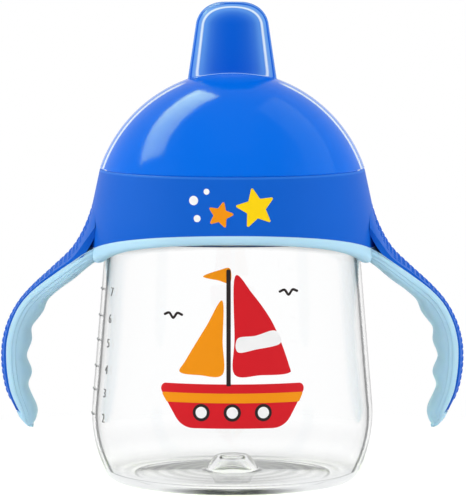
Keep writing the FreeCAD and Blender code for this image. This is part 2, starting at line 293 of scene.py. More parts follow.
def spun(outline, around=192, closed=False):
    """Vertices and faces of an outline (r, z) turned about the axis of the cup."""
    vertices = []
    rows = []
    for r, z in outline:
        if r < 1e-7:
            rows.append([len(vertices)] * around)
            vertices.append((0, 0, z))
            continue
        rows.append(list(range(len(vertices), len(vertices) + around)))
        for k in range(around):
            angle = 2 * math.pi * k / around
            vertices.append((r * math.cos(angle), r * math.sin(angle), z))
    return vertices, rows_to_faces(rows, True, closed)


def loft(sections):
    """Vertices and faces through closed sections with equal numbers of points, with flat ends."""
    vertices = [point for section in sections for point in section]
    count = len(sections[0])
    rows = [list(range(k * count, (k + 1) * count)) for k in range(len(sections))]
    faces = rows_to_faces(rows, True, False)
    faces.append(rows[0])
    faces.append(list(reversed(rows[-1])))
    return vertices, faces


def thread_rib(radius, start_z, outward):
    """A tapered thread rib on a cylinder, with ends that run out."""
    sections = []
    steps = int(THREAD_TURNS * 96)
    root = -0.3 * outward * MM
    for k in range(steps + 1):
        angle = 2 * math.pi * THREAD_TURNS * k / steps
        fade = min(1.0, 8.0 * min(k, steps - k) / steps)
        crest = THREAD_RISE * (0.05 + 0.95 * fade) * outward
        z = start_z + THREAD_PITCH * angle / (2 * math.pi)
        lower = [(radius + root, -THREAD_BASE / 2), (radius + crest, -THREAD_BASE / 5)]
        corners = lower + [(r, -dz) for r, dz in lower[::-1]]
        sections.append([(r * math.cos(angle), r * math.sin(angle), z + dz) for r, dz in corners])
    return loft(sections)


def clear_plastic(name, tint):
    """Clear moulded plastic, with painted shade where a wall is seen edge on, most of all at its inner face."""
    made, start = new_material(name)
    place = start.node("ShaderNodeTexCoord", output="Object")
    flow = place.noise(220.0, 2.0)
    bump = flow.bump(0.02, 0.0001)
    facing = start.node("ShaderNodeLayerWeight", {"Blend": 0.5}, output="Facing")
    passed = start.node("ShaderNodeLightPath", output="Transmission Depth")
    outer, near_wall, far_wall = (passed.math("COMPARE", passed, number) for number in (0.0, 1.0, 2.0))
    normal = start.node("ShaderNodeNewGeometry", output="Normal")
    tilt = normal.part("Z")
    upright = tilt.math("ABSOLUTE", tilt).ramped(0.15, 0.4, 1.0, 0.1)
    across, height = (place.part(axis) for axis in "XZ")
    middle = (across * across).ramped((20 * MM) ** 2, (6 * MM) ** 2, 0.1)

    # painted shade, as a dark veil: a line where the inner face begins to mirror, the shaded wall and rings of
    # shade behind it,
    # # darker outer edges, a dark band at the edge of the foot ring, and the shadow of the screw ring, whose
    # lower edge is an arch
    line = facing.ramped(0.313, 0.320) * facing.ramped(0.332, 0.327) * 0.9
    shade_rings = start.node("ShaderNodeTexWave", {"Vector": place, "Scale": 80.0}, output="Fac",
                       wave_type="RINGS", rings_direction="Z")
    inside = upright * ((facing ** 12.0) * 2.2 + (facing ** 3.0) * 0.2) + (1.0 - upright) * (shade_rings * 0.16 + 0.04)
    foot = height.ramped(1.9 * MM, 1.2 * MM) * height.ramped(0.2 * MM, 0.8 * MM) * middle * 0.45
    arch = height + across * across * 3.1
    painted_ring_shadow = arch.ramped(67.6 * MM, 69.2 * MM) * 0.45 * height.ramped(70.6 * MM, 69.8 * MM)
    painted_shade = far_wall * inside + near_wall * line + outer * ((facing ** 16.0) * 0.4 + painted_ring_shadow) + foot

    # painted glow: the thick plastic low in the foot glows with emission, apart from its middle
    painted_glow = near_wall * height.ramped(6.5 * MM, 4 * MM) * (1.0 - middle) * 0.8
    clear = start.node("ShaderNodeBsdfPrincipled", {
        "Base Color": tint, "Roughness": 0.015, "Transmission Weight": 1.0, "IOR": 1.36, "Normal": bump})
    lit = start.node("ShaderNodeEmission", {"Color": (0.84, 0.85, 0.86, 1)})
    dim = start.node("ShaderNodeBsdfTransparent", {"Color": (0.13, 0.135, 0.14, 1)})
    shown = painted_shade.math("MINIMUM", painted_shade, 0.92).between(painted_glow.between(clear, lit), dim)
    open_air = start.node("ShaderNodeBsdfTransparent", {"Color": (0.93, 0.94, 0.95, 1)})
    start.node("ShaderNodeLightPath", output="Is Shadow Ray").between(shown, open_air).as_surface()
    return made


cup_clear = clear_plastic("clear_polypropylene", (0.995, 0.997, 0.998, 1))
cup = solid("beaker_shell", *spun(blended(CUP_OUTLINE)), cup_clear, "beaker", "clear_cup")
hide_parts("cup")
solid("neck_thread", *thread_rib(NECK_R, 73.6 * MM, 1), cup_clear, "beaker", "clear_cup")


# -------------------- volume scale
# Raised ticks and plain numerals, 2 to 7, on the left of the beaker. They are part of the same moulding; their
# grey
# # is painted shade that stands for the fine lines where their edges bend the light.

SCALE_LEVELS = ((2, 19.3), (3, 26.2), (4, 32.7), (5, 40.0), (6, 46.8), (7, 54.2))
NUMERAL_ANGLE = math.radians(-65.2)
TICK_ANGLES = (math.radians(-80.0), math.radians(-89.0))
TICK_SECTION = ((-0.2, -0.05), (-0.12, 0.25), (0.12, 0.25), (0.2, -0.05))
NUMERAL_SIZE = 3.6 * MM
NUMERAL_THINNING = 0.06 * MM
CUP_WALL = [p for p in blended(CUP_OUTLINE[5:8] + ((29.8, 70.6, 0),), 2) if p.x > 30 * MM]


def cup_radius(z):
    """Outer radius of the beaker's wall at a height, in metres."""
    below = [p for p in CUP_WALL if p.y <= z][-1]
    above = [p for p in CUP_WALL if p.y > z][0]
    share = (z - below.y) / (above.y - below.y)
    return below.x + (above.x - below.x) * share


def rgb(red, green, blue):
    """Linear colour, with alpha, from the 0 to 255 values that a colour card shows."""
    def linear(value):
        value /= 255
        return value / 12.92 if value <= 0.04045 else ((value + 0.055) / 1.055) ** 2.4
    return (linear(red), linear(green), linear(blue), 1.0)


def on_wall(angle, z, lift, radius=cup_radius):
    """A point on the wall, at an angle in radians from the front, positive to the right."""
    r = radius(z) + lift
    return Vector((r * math.sin(angle), -r * math.cos(angle), z))


def flat_to_wall(vertices, centre_angle, centre_z, low, high, radius=cup_radius):
    """Bends a flat shape, drawn in x and y with z as its thickness from 0 to 1, onto the wall."""
    for vertex in vertices:
        x, y, depth = vertex.co
        z = centre_z + y
        angle = centre_angle + x / radius(z)
        vertex.co = on_wall(angle, z, low + (high - low) * depth, radius)


def thickened(shape):
    """Gives a flat mesh a back and sides, one unit deep."""
    grown = bmesh.ops.extrude_face_region(shape, geom=shape.faces[:])
    for item in grown["geom"]:
        if isinstance(item, bmesh.types.BMVert):
            item.co.z = 1.0


def numeral_mesh(text):
    """A flat numeral, one unit thick."""
    curve = bpy.data.curves.new("numeral", "FONT")
    curve.body = text
    curve.size = NUMERAL_SIZE
    curve.align_x = curve.align_y = "CENTER"
    curve.offset = -NUMERAL_THINNING
    holder = bpy.data.objects.new("numeral", curve)
    scene.collection.objects.link(holder)
    mesh = bpy.data.meshes.new_from_object(holder.evaluated_get(bpy.context.evaluated_depsgraph_get()))
    bpy.data.objects.remove(holder)
    shape = bmesh.new()
    shape.from_mesh(mesh)
    bmesh.ops.remove_doubles(shape, verts=shape.verts, dist=1e-7)
    bmesh.ops.dissolve_limit(shape, angle_limit=0.01, verts=shape.verts, edges=shape.edges)
    thickened(shape)
    bmesh.ops.triangulate(shape, faces=shape.faces)
    bmesh.ops.recalc_face_normals(shape, faces=shape.faces)
    shape.to_mesh(mesh)
    shape.free()
    return mesh


# painted shade: a flat grey for the light that the clear edges of the ticks and numerals bend away
scale_painted_shade, start = new_material("raised_scale")
grain = start.node("ShaderNodeTexNoise", {"Scale": 900.0, "Detail": 3.0}, output="Fac")
start.node("ShaderNodeBsdfPrincipled", {
    "Base Color": rgb(120, 122, 124), "Roughness": grain * 0.2 + 0.15, "Alpha": 0.75}).as_surface()

for number, level_mm in SCALE_LEVELS:
    mesh = numeral_mesh(str(number))
    flat_to_wall(mesh.vertices, NUMERAL_ANGLE, level_mm * MM, -0.05 * MM, 0.22 * MM)
    placed(f"scale_numeral_{number}", mesh, scale_painted_shade, "beaker", "clear_cup")
    sections = []
    for k in range(13):
        angle = TICK_ANGLES[0] + (TICK_ANGLES[1] - TICK_ANGLES[0]) * k / 12
        sections.append([on_wall(angle, (level_mm + dz) * MM, lift * MM) for dz, lift in TICK_SECTION])
    solid(f"scale_tick_{number}", *loft(sections), scale_painted_shade, "beaker", "clear_cup")


# -------------------- print on the cup
# A toy sailing boat on the front of the beaker. It is pad printed in thin opaque layers of bright ink, the
# smaller shapes over the larger ones.

INKS = {
    "red": rgb(215, 18, 32), "orange": rgb(246, 150, 0), "black": rgb(30, 20, 20),
    "yellow": rgb(255, 215, 0), "white": rgb(250, 250, 250),
}
INK_LAYER = 0.03 * MM
ink_materials = {}
for ink, colour in INKS.items():
    made, start = new_material("ink_" + ink)
    mottle = start.node("ShaderNodeTexNoise", {"Scale": 700.0, "Detail": 2.0}, output="Fac")
    start.node("ShaderNodeBsdfPrincipled", {
        "Base Color": colour, "Roughness": mottle * 0.15 + 0.32, "Specular IOR Level": 0.25}).as_surface()
    ink_materials[ink] = made


def along_curve(a, b, c, d, t):
    """Where a smooth curve through a, b, c and d is, at t from 0 at b to 1 at c."""
    return 0.5 * (2 * b + (c - a) * t + (2 * a - 5 * b + 4 * c - d) * t ** 2 + (3 * b - a - 3 * c + d) * t ** 3)


def smooth_loop(points, per_side=8):
    """Closed curve through the points, in millimetres."""
    count = len(points)
    loop = []
    for i in range(count):
        four = [Vector(points[(i + k) % count]) for k in (-1, 0, 1, 2)]
        loop += [along_curve(*four, k / per_side) for k in range(per_side)]
    return loop


def circle(x, y, radius, count=40):
    turns = [2 * math.pi * k / count for k in range(count)]
    return [Vector((x + radius * math.cos(turn), y + radius * math.sin(turn))) for turn in turns]


def rounded(corners):
    """Closed loop through corners (x, y, blend radius), in millimetres."""
    wrapped = [corners[-1]] + list(corners) + [corners[0]]
    loop = []
    for before, corner, after in zip(wrapped, wrapped[1:], wrapped[2:]):
        loop += [p / MM for p in blended((before[:2] + (0,), corner, after[:2] + (0,)), 9)[1:-1]]
    return loop


def stroke(points, width, count=12):
    """Outline of a smooth line of even width with round ends, in millimetres."""
    knots = [Vector(p) for p in points]
    ends = [2 * knots[0] - knots[1]] + knots + [2 * knots[-1] - knots[-2]]
    fours = zip(ends, ends[1:], ends[2:], ends[3:])
    line = [along_curve(*four, k / count) for four in fours for k in range(count)]
    line.append(knots[-1])
    left = []
    right = []
    for i, point in enumerate(line):
        along = (line[min(i + 1, len(line) - 1)] - line[max(i - 1, 0)]).normalized()
        side = Vector((-along.y, along.x)) * width / 2
        left.append(point + side)
        right.append(point - side)

    def round_end(tip, before):
        along = (tip - before).normalized() * width / 2
        side = Vector((-along.y, along.x))
        return [tip + along * math.sin(math.pi * k / 6) + side * math.cos(math.pi * k / 6) for k in range(1, 6)]

    return left + round_end(line[-1], line[-2]) + right[::-1] + round_end(line[0], line[1])


def printed(name, loops, ink, layer, centre_z, radius, body, slot):
    """One ink layer: closed loops in millimetres, cut fine enough to bend, and laid on the wall."""
    shape = bmesh.new()
    for loop in loops:
        shape.faces.new([shape.verts.new((p.x * MM, p.y * MM, 0)) for p in loop])
    bmesh.ops.triangulate(shape, faces=shape.faces)
    reach = max(abs(c) for v in shape.verts for c in v.co) + MM
    pitch = 1.5 * MM
    for k in range(-int(reach / pitch), int(reach / pitch) + 1):
        for normal in ((1, 0, 0), (0, 1, 0)):
            place = Vector(normal) * (k * pitch + 0.37 * pitch)
            bmesh.ops.bisect_plane(shape, geom=shape.verts[:] + shape.edges[:] + shape.faces[:],
                                   plane_co=place, plane_no=normal)
    thickened(shape)
    low = 0.01 * MM + INK_LAYER * layer
    flat_to_wall(shape.verts, 0.0, centre_z, low, low + INK_LAYER * 0.8, radius)
    bmesh.ops.recalc_face_normals(shape, faces=shape.faces)
    mesh = bpy.data.meshes.new(name)
    shape.to_mesh(mesh)
    shape.free()
    mesh.shade_smooth()
    mesh.set_sharp_from_angle(angle=math.radians(40))
    placed(name, mesh, ink_materials[ink], body, slot)


PRINT_Z = 39.8 * MM
hull = rounded(((-21.5, -8.5, 1.5), (21.5, -8.5, 1.5), (14.5, -20.5, 6), (-14.0, -20.5, 6)))
stripe = rounded(((-20.2, -11.0, 0.4), (20.2, -11.0, 0.4), (18.9, -13.6, 0.4), (-18.5, -13.6, 0.4)))
main_sail = smooth_loop((
    (0.6, -5.8), (0.6, 4.0), (0.7, 20.6), (5.5, 16.0), (11.4, 7.5), (15.8, -3.4), (15.6, -5.8), (8.0, -6.1)))
jib = smooth_loop((
    (-2.6, -5.8), (-2.6, 3.0), (-2.7, 14.2), (-7.2, 7.0), (-12.8, -2.0), (-14.6, -5.4), (-9.0, -6.1)))
mast = rounded(((-1.6, -9.0, 0.3), (-0.4, -9.0, 0.3), (-0.4, 22.6, 0.5), (-1.6, 22.6, 0.5)))
pennant = smooth_loop(((-0.6, 22.8), (-3.5, 22.4), (-8.0, 20.6), (-3.8, 19.6), (-0.6, 18.9)))
portholes, panes = ([circle(x, -16.2, radius) for x in (-8.5, 0.0, 8.5)] for radius in (2.35, 1.55))
band = smooth_loop(((1.5, 0.2), (6.5, 0.9), (13.3, 2.4), (11.8, 5.9), (6.3, 4.6), (1.5, 3.9)))
gulls = [stroke(((x - 2.6, y + 0.9), (x - 1.2, y + 1.3), (x, y), (x + 1.2, y + 1.3), (x + 2.6, y + 0.9)), 0.7)
         for x, y in ((15.8, 15.5), (-16.6, 9.2))]
for name, loops, ink, layer in (
    ("print_hull", [hull], "red", 0), ("print_stripe", [stripe], "orange", 1),
    ("print_main_sail", [main_sail], "red", 0), ("print_sail_band", [band], "white", 1),
    ("print_jib", [jib], "orange", 0), ("print_mast", [mast], "black", 1),
    ("print_pennant", [pennant], "orange", 0), ("print_porthole_rims", portholes, "black", 1),
    ("print_porthole_panes", panes, "white", 2), ("print_gulls", gulls, "black", 0),
):
    printed(name, loops, ink, layer, PRINT_Z, cup_radius, "beaker", "clear_cup")


# -------------------- handles
# Both handles are one moulding with the screw ring. Each station runs from the outer face (x, z) to the finger
# side (x, z); then come half the width, the rise of the crown, and how far the blue reaches down the side.

STATIONS = (
    (37.9, 80.5, 37.9, 61.9, 13.6, 8.4, 14.3),
    (40.6, 72.4, 40.2, 60.2, 13.8, 4.0, 7.4),
    (44.4, 65.6, 43.9, 57.0, 13.2, 2.4, 3.3),
    (50.0, 60.0, 48.0, 54.0, 11.4, 1.0, 1.6),
    (55.4, 55.0, 51.2, 51.0, 9.8, 0.5, 0.9),
    (59.5, 50.4, 52.8, 47.4, 8.8, 0.5, 0.9),
    (62.4, 45.2, 55.9, 43.1, 8.3, 0.9, 1.2),
    (64.0, 39.8, 56.0, 39.2, 8.0, 1.2, 1.5),
    (64.4, 34.7, 57.4, 34.9, 8.0, 1.4, 1.7),
    (64.0, 29.9, 56.0, 30.5, 8.0, 1.4, 1.7),
    (62.9, 25.2, 57.0, 26.4, 7.8, 1.3, 1.5),
    (60.6, 20.4, 54.6, 20.6, 7.0, 1.0, 1.0),
    (59.6, 18.2, 54.8, 17.6, 6.0, 0.8, 0.8),
    (58.0, 16.2, 55.8, 15.9, 3.8, 0.5, 0.5),
)
STEPS_PER_STATION = 14
SKIN_END = 11.25            # where along the stations the blue skin comes to its rounded point
RIM_WIDTH = 1.1 * MM        # width of the soft rim that frames the blue skin


def station(t):
    """Outer point, direction to the inner point, thickness, half width, crown and seam depth at t, in metres."""
    i = min(int(t), len(STATIONS) - 2)
    rows = [STATIONS[max(0, min(len(STATIONS) - 1, i + k))] for k in (-1, 0, 1, 2)]
    values = [MM * along_curve(*four, t - i) for four in zip(*rows)]
    outer = Vector((values[0], 0, values[1]))
    inward = Vector((values[2], 0, values[3])) - outer
    return outer, inward.normalized(), inward.length, values[4], values[5], values[6]


def smooth_step(value, low, high):
    share = max(0.0, min(1.0, (value - low) / (high - low)))
    return share * share * (3 - 2 * share)


def skin_half(t, half):
    """Half the width of the blue skin: the whole handle at the root, inside the soft rim further down."""
    inset = RIM_WIDTH * smooth_step(t, 0.8, 3.2)
    end = max(0.0, (t - SKIN_END + 1.6) / 1.6)
    return (half - inset) * math.sqrt(max(0.0, 1 - end * end))


def crown_drop(y, half, crown):
    return crown * (y / half) ** 2


def skin_section(t):
    """Blue skin: crowned outside, down the sides to the seam, and closed inside the soft grip."""
    outer, inward, thick, half, crown, seam = station(t)
    edge = skin_half(t, half)
    points = []
    for k in range(25):
        y = edge * math.sin(math.pi / 2 * (k - 12) / 12)
        points.append(outer + inward * crown_drop(y, half, crown) + Vector((0, y, 0)))
    drop = crown_drop(edge, half, crown)
    floor = min(max(drop + 0.05 * MM, seam) + 0.9 * MM, thick * 0.6)
    for k in range(1, 5):
        points.append(outer + inward * (drop + (floor - drop) * k / 4) + Vector((0, edge, 0)))
    for k in range(1, 4):
        points.append(outer + inward * floor + Vector((0, edge * (1 - k / 2), 0)))
    for k in range(1, 4):
        points.append(outer + inward * (floor + (drop - floor) * k / 4) + Vector((0, -edge, 0)))
    return points


def joined(vertices, faces, more_vertices, more_faces):
    """Two shapes as one list of vertices and one of faces."""
    count = len(vertices)
    return list(vertices) + list(more_vertices), faces + [[i + count for i in face] for face in more_faces]


def on_both_sides(vertices, faces):
    """A shape, and the same again half a turn about the axis."""
    return joined(vertices, faces, [Vector((-v[0], -v[1], v[2])) for v in vertices], faces)


skin_steps = [k / STEPS_PER_STATION for k in range(int(SKIN_END * STEPS_PER_STATION))]
handle_skins = on_both_sides(*loft([skin_section(t) for t in skin_steps]))


# -------------------- screw ring
# The ring is injection moulded in opaque blue polypropylene with a satin surface. It has a flared shell, a deck
# with a collar for the cap, and an inner skirt whose thread runs on the neck of the beaker.

RING_TOP = 87.5 * MM
RING_TOP_R = 36.8 * MM
FLARE_START = 75.0 * MM
FLARE_END = 66.57 * MM
FLARE_BLEND = 39.2 * MM
RING_R = 40.4 * MM
FLARE_SLOPE = 0.2154
SHELL_WALL = 2.3 * MM
ROOT_HALF = 14.0 * MM
RING_AROUND = 288
SKIRT_R = 31.4 * MM
SHELL_TOP = 86.7 * MM
SHELL_ROOF = 84.6 * MM


def ring_radius(z):
    """Outer radius of the flared shell at a height: a cone that turns upright at its lower edge."""
    if z >= FLARE_START:
        return RING_TOP_R + FLARE_SLOPE * (RING_TOP - z)
    return RING_R - max(0.0, z - FLARE_END) ** 2 / (2 * FLARE_BLEND)


def edge_height(angle, root, half_way, front):
    """Height of a lower edge that is level across the handles and arches up at front and back, in metres."""
    y = abs(RING_R * math.sin(angle))
    if y <= ROOT_HALF:
        return root * MM
    share = (y - ROOT_HALF) / (42 * MM - ROOT_HALF)
    bend = half_way - (root + front) / 2
    return (root + (front - root) * share + bend * 4 * share * (1 - share)) * MM


def seam_height(angle):
    return edge_height(angle, 66.2, 69.3, 71.8)


def band_height(angle):
    return edge_height(angle, 62.2, 66.6, 69.5)


COLLAR = blended((
    (33.0, 85.6, 0), (27.6, 85.6, 0.3), (27.6, 87.5, 0.4), (31.6, 87.5, 0.3), (31.6, 89.9, 0.5),
    (33.0, 89.9, 0.5), (33.0, 87.5, 0.3), (36.8, 87.5, 0.45), (36.97, 86.7, 0)), 12)
SKIRT = blended((
    (34.3, 85.2, 0), (33.0, 85.0, 0.4), (33.0, 72.5, 0.5), (31.4, 72.5, 0.5), (31.4, 85.6, 0),
    (31.6, 85.6, 0)), 12)


def shell_outline(angle):
    """Cross-section of the ring at an angle: collar, flared shell with its inner face, and skirt."""
    seam = seam_height(angle)
    outside = [SHELL_TOP + (seam - SHELL_TOP) * row / 20 for row in range(1, 21)]
    inside = [seam + (SHELL_ROOF - seam) * row / 12 for row in range(13)]
    return (COLLAR + [(ring_radius(z), z) for z in outside]
            + [(ring_radius(z) - SHELL_WALL, z) for z in inside] + SKIRT)


def around_axis(outline_at, count, closed=True):
    """A shape round the axis, whose outline of radii and heights may change with the angle."""
    vertices = []
    columns = []
    for k in range(count):
        angle = 2 * math.pi * k / count
        outline = outline_at(angle)
        columns.append(list(range(len(vertices), len(vertices) + len(outline))))
        vertices += [(r * math.cos(angle), r * math.sin(angle), z) for r, z in outline]
    return vertices, rows_to_faces(columns, closed, True)


# opaque plastic with a fine spark-eroded grain, slightly uneven colour, and a painted highlight along its upper
# edge
ring_blue, start = new_material("blue_satin_polypropylene")
place = start.node("ShaderNodeTexCoord", output="Object")
grain = place.noise(2600.0, 2.0)
height = place.part("Z")
# painted highlight: a lighter blue band round the rounded upper edge of the shell
rim = height.ramped(86.75 * MM, 86.95 * MM) * height.ramped(87.5 * MM, 87.4 * MM)
tone = (place.noise(60.0, 3.0) * 0.35).mixed(rgb(14, 98, 208), rgb(10, 88, 196))
bump = grain.bump(0.12, 0.00008)
start.node("ShaderNodeBsdfPrincipled", {
    "Base Color": rim.mixed(tone, rgb(44, 116, 216)), "Roughness": grain * 0.1 + 0.42, "Specular IOR Level": 0.1,
    "Normal": bump}).as_surface()
ring_shape = joined(*around_axis(shell_outline, RING_AROUND), *handle_skins)
ring = solid("screw_ring_and_handles", *ring_shape, ring_blue, "screw_ring", "blue_ring", 35)
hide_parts("handle_ring")
solid("skirt_thread", *thread_rib(SKIRT_R, 73.8 * MM, -1), ring_blue, "screw_ring", "blue_ring")


# -------------------- grip dashes
# Rows of small raised dashes run along the outer face of each handle, from the side of the ring to the lower
# end, so that wet hands don't slip. They are moulded in the blue plastic.

DASH_LENGTH = 1.2 * MM
DASH_WIDTH = 0.5 * MM
DASH_RISE = 0.15 * MM
ROW_PITCH = 1.8 * MM
COLUMN_PITCH = 1.6 * MM


def skin_point(t, y):
    """A point on the crowned outer face of the handle."""
    outer, inward, _, half, crown, _ = station(t)
    return outer + inward * crown_drop(y, half, crown) + Vector((0, y, 0))


def dash(t, y):
    """A raised pill along the handle at a place on its outer face."""
    here = skin_point(t, y)
    along = (skin_point(t + 0.02, y) - skin_point(t - 0.02, y)).normalized()
    across = (skin_point(t, y + 0.1 * MM) - skin_point(t, y - 0.1 * MM)).normalized()
    out = across.cross(along).normalized()
    if out.x < 0:
        out = -out
    sections = []
    for level, size in ((-0.3, 1.0), (0.55, 0.82), (1.0, 0.45)):
        section = []
        for k in range(10):
            angle = 2 * math.pi * k / 10
            reach = (DASH_LENGTH - DASH_WIDTH) / 2 * (1 if math.cos(angle) > 0 else -1)
            section.append(here + along * (reach + DASH_WIDTH / 2 * size * math.cos(angle))
                           + across * (DASH_WIDTH / 2 * size * math.sin(angle)) + out * DASH_RISE * level)
        sections.append(section)
    return loft(sections)


dashes = ([], [])
t = 0.18
row = 0
while t < SKIN_END - 0.9:
    outer, _, _, half, _, _ = station(t)
    usable = skin_half(t, half) - 1.3 * MM
    if t < 2.0:
        usable = min(usable, 3.0 * MM + 7.5 * MM * smooth_step(t, 0.0, 1.4))
    count = int(usable / COLUMN_PITCH)
    shift = 0.5 if row % 2 else 0.0
    for k in range(-count - 1, count + 2):
        y = (k + shift) * COLUMN_PITCH
        if abs(y) <= usable:
            dashes = joined(*dashes, *dash(t, y))
    t += ROW_PITCH / max(1e-6, (station(t + 0.01)[0] - outer).length / 0.01)
    row += 1
solid("handle_grip_dashes", *on_both_sides(*dashes), ring_blue, "screw_ring", "blue_ring", 50)


# -------------------- soft grip
# One overmoulding of light blue elastomer: a bead round the lower edge of the ring, a raised rim that frames
# the blue skin of each handle, and the finger side with its three scallops and rounded tip.

LIP_RISE = 0.12 * MM
BEAD_RISE = 0.45 * MM


def grip_section(t, scale=1.0, shift=Vector((0, 0, 0))):
    """Soft part of the handle: rim beside the blue skin, a fine step, then the rounded finger side."""
    outer, inward, thick, half, crown, seam = station(t)
    edge = skin_half(t, half)
    top = min(max(seam, crown), thick * 0.8)
    unit = min(MM, (thick - top) / 4.6)
    if edge > 0.5 * MM:
        start_depth = max(seam, crown_drop(edge, half, crown))
        half_loop = [(0.0, start_depth + 0.6 * MM), (edge - 0.5 * MM, start_depth + 0.5 * MM),
                     (edge - 0.02 * MM, start_depth + 0.1 * MM), (edge + 0.05 * MM, start_depth - LIP_RISE),
                     (edge + 0.25 * MM, start_depth - LIP_RISE * 0.9)]
    else:
        places = [half * share for share in (0.0, 0.3, 0.55, 0.72, 0.82)]
        half_loop = [(y, crown_drop(y, half, crown)) for y in places]
    wide = half + 0.25 * MM * (1 - smooth_step(t, 0.5, 3.0))
    rim = top + 1.35 * unit
    half_loop += [
        (wide - 0.45 * unit, rim - 0.972 * unit), (wide - 0.12 * unit, rim - 0.513 * unit), (wide, rim),
        (wide - 0.02 * MM, rim + 0.12 * unit), (wide - 0.16 * unit, rim + 0.24 * unit),
        (wide - 0.14 * unit, rim + 0.45 * unit), (wide - 0.12 * unit, rim + 1.1 * unit),
        (wide - 0.3 * unit, rim + 1.3 * unit),
    ]
    start_y, start_d = wide - 0.32 * unit, rim + 1.45 * unit
    for k in range(13):
        turn = math.pi / 2 * k / 12
        half_loop.append((start_y * math.cos(turn) ** 0.62, start_d + (thick - start_d) * math.sin(turn) ** 0.8))
    loop = half_loop + [(-y, d) for y, d in half_loop[-2:0:-1]]
    centre = outer + inward * thick / 2
    return [centre + shift + (outer + inward * d + Vector((0, y, 0)) - centre) * scale for y, d in loop]


def bead_outline(angle):
    """Cross-section of the soft bead at an angle, from its seam with the shell down and back up inside."""
    seam = seam_height(angle)
    low = band_height(angle)
    face = [(0.3, 0.1), (BEAD_RISE / MM, 0.35), (BEAD_RISE / MM, 0.6), (0.28, 0.78), (0.05, 0.86), (-0.1, 0.9),
            (-0.35, 0.97)]
    outline = [(-0.9, seam + 0.25 * MM), (-0.03, seam + 0.25 * MM), (0.1, seam + 0.1 * MM)]
    outline += [(out, seam - share * (seam - low)) for out, share in face]
    outline += [(-0.8, low), (-1.6, low), (-2.3, low + 0.15 * MM), (-2.6, low + 0.5 * MM),
                (-2.6, seam - 0.1 * MM), (-2.2, seam + 0.1 * MM)]
    return [(ring_radius(seam) + out * MM, z) for out, z in outline]


last = len(STATIONS) - 1
grip_sections = [grip_section(k / STEPS_PER_STATION) for k in range(last * STEPS_PER_STATION + 1)]
tip_run = (station(last)[0] - station(last - 0.1)[0]).normalized()
for k in range(1, 7):
    turn = math.pi / 2 * k / 6.3
    grip_sections.append(grip_section(last, math.cos(turn), tip_run * 1.3 * MM * math.sin(turn)))
grip_shape = joined(*on_both_sides(*loft(grip_sections)), *around_axis(bead_outline, RING_AROUND))

grip_soft, start = new_material("light_blue_elastomer")
place = start.node("ShaderNodeTexCoord", output="Object")
grain = place.noise(3400.0, 2.0)
tone = (place.noise(45.0, 3.0) * 0.5).mixed(rgb(186, 226, 247), rgb(176, 218, 243))
bump = grain.bump(0.1, 0.00006)
start.node("ShaderNodeBsdfPrincipled", {
    "Base Color": tone, "Roughness": grain * 0.1 + 0.5, "Specular IOR Level": 0.15, "Subsurface Weight": 0.25,
    "Subsurface Radius": (0.4, 0.7, 1.0), "Subsurface Scale": 0.002, "Normal": bump}).as_surface()
grip = solid("soft_grip_moulding", *grip_shape, grip_soft, "screw_ring", "soft_grip", 35)
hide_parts("soft_grip")


# -------------------- print on the ring
# Two stars and a splash of dots on the front of the flared shell. They are pad printed in the same inks as the
# boat, straight onto the blue plastic.

RING_PRINT_Z = 79.0 * MM


def star(x, y, reach, inner, points=5, tilt=0.0):
    corners = []
    for k in range(2 * points):
        angle = math.pi / 2 + tilt + math.pi * k / points
        size = reach if k % 2 == 0 else inner
        corners.append((x + size * math.cos(angle), y + size * math.sin(angle), 0.35 if k % 2 == 0 else 0.25))
    return rounded(tuple(reversed(corners)))


for name, loops, ink in (
    ("ring_print_star", [star(6.4, 0.2, 5.9, 2.75, tilt=0.2)], "yellow"),
    ("ring_print_small_star", [star(-3.2, -1.6, 4.0, 1.9, tilt=-0.25)], "orange"),
    ("ring_print_dots", [circle(-10.6, 2.2, 1.25), circle(-9.6, -2.6, 0.95), circle(-7.0, 4.6, 0.8)], "white"),
):
    printed(name, loops, ink, 0, RING_PRINT_Z, ring_radius, "screw_ring", "blue_ring")


# -------------------- cap
# The push-on cap is one thin moulding of glossy translucent blue plastic: a dome that sits on the deck of the
# ring, and an oval cover over the spout that grows out of the dome through a small fillet.

DOME_CENTRE = Vector((-1.14 * MM, 74.5 * MM))
DOME_R = 40.2 * MM
CAP_WALL = 1.4 * MM
COVER_DEPTH = 0.48          # depth of the oval cover over its width
COVER_HALF = 11.4 * MM      # half its width, halfway up
COVER_FILLET = 0.5 * MM


def dome_height(r, inset):
    """Height of the dome at a radius."""
    return DOME_CENTRE.y + math.sqrt(max(0.0, (DOME_R - inset) ** 2 - (r - DOME_CENTRE.x) ** 2))


def line_through(points):
    """Width against height along a list of points (x, z), for reading widths off an outline."""
    def width(z):
        if z <= points[0].y:
            slope = (points[1].x - points[0].x) / (points[1].y - points[0].y)
            return points[0].x + slope * (z - points[0].y)
        for low, high in zip(points, points[1:]):
            if low.y <= z <= high.y and high.y > low.y:
                return low.x + (high.x - low.x) * (z - low.y) / (high.y - low.y)
        return 0.0
    return width


def cover_outline(inset):
    """Front outline of the spout cover, from its foot to the middle of its top, in metres."""
    k = inset / MM
    return blended(((13.6 - k, 104, 0), (9.5 - 0.9 * k, 131.7 - 0.9 * k, 7.0 - 0.8 * k),
                    (4.0 - 0.3 * k, 133.75 - k, 8), (0, 133.8 - k, 0)), 4)


COVER_LINES = (line_through(cover_outline(0)), line_through(cover_outline(CAP_WALL)))


def oval_radius(half, depth, angle):
    return half * depth / math.sqrt((depth * math.cos(angle)) ** 2 + (math.sin(angle)) ** 2)


